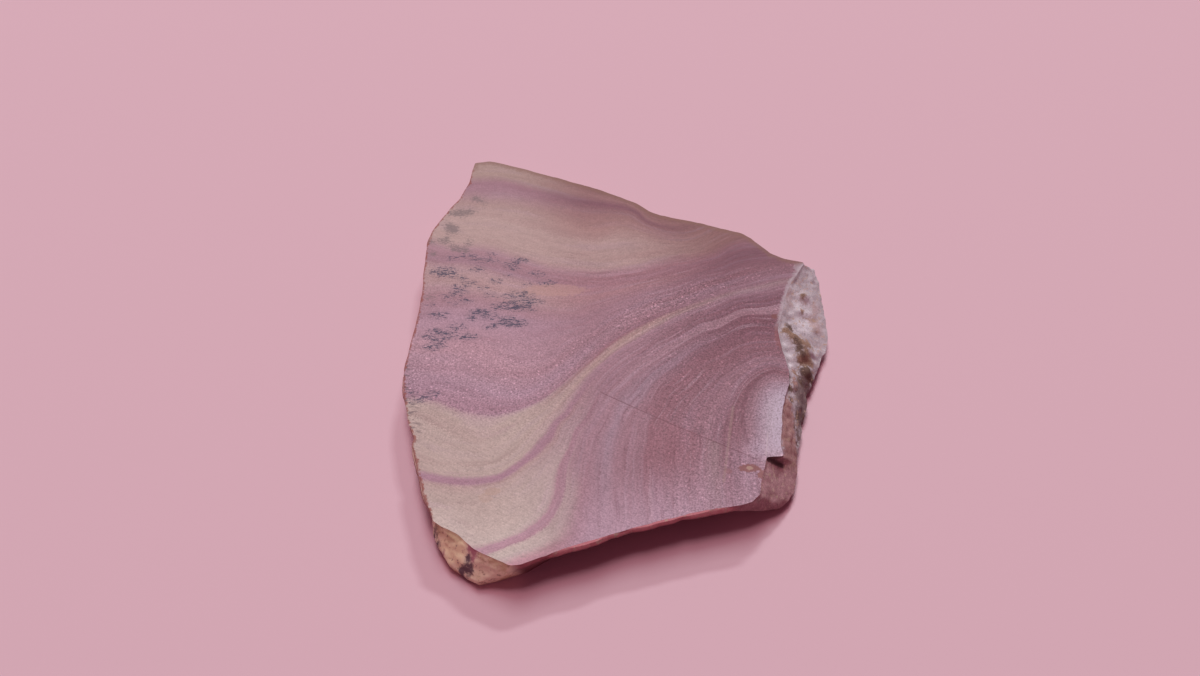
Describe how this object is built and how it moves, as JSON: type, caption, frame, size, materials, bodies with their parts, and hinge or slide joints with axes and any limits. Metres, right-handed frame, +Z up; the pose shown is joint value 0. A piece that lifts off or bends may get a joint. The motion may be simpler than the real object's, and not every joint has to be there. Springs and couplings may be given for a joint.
{
  "type": "rhyolite slab",
  "caption": "Flat sawn slab of flow-banded rhyolite with an irregular outline and broken, weathered edges; lies flat on a table or shelf.",
  "frame": {"origin": "middle of the bounding box at the sawn face that the slab rests on", "axes": "+Y along the slab's long way, towards its pointed far corner; +X towards the crusted edge; +Z up through the thickness, out of the showing sawn face"},
  "size_m": [0.0753, 0.0904, 0.0065],
  "materials": {
    "rhyolite": "sawn matte faces in cream, mauve and purple flow bands, rough chalky and rust-brown broken edge"
  },
  "bodies": {
    "root": {"rhyolite_slab": "rhyolite"}
  },
  "joints": []
}
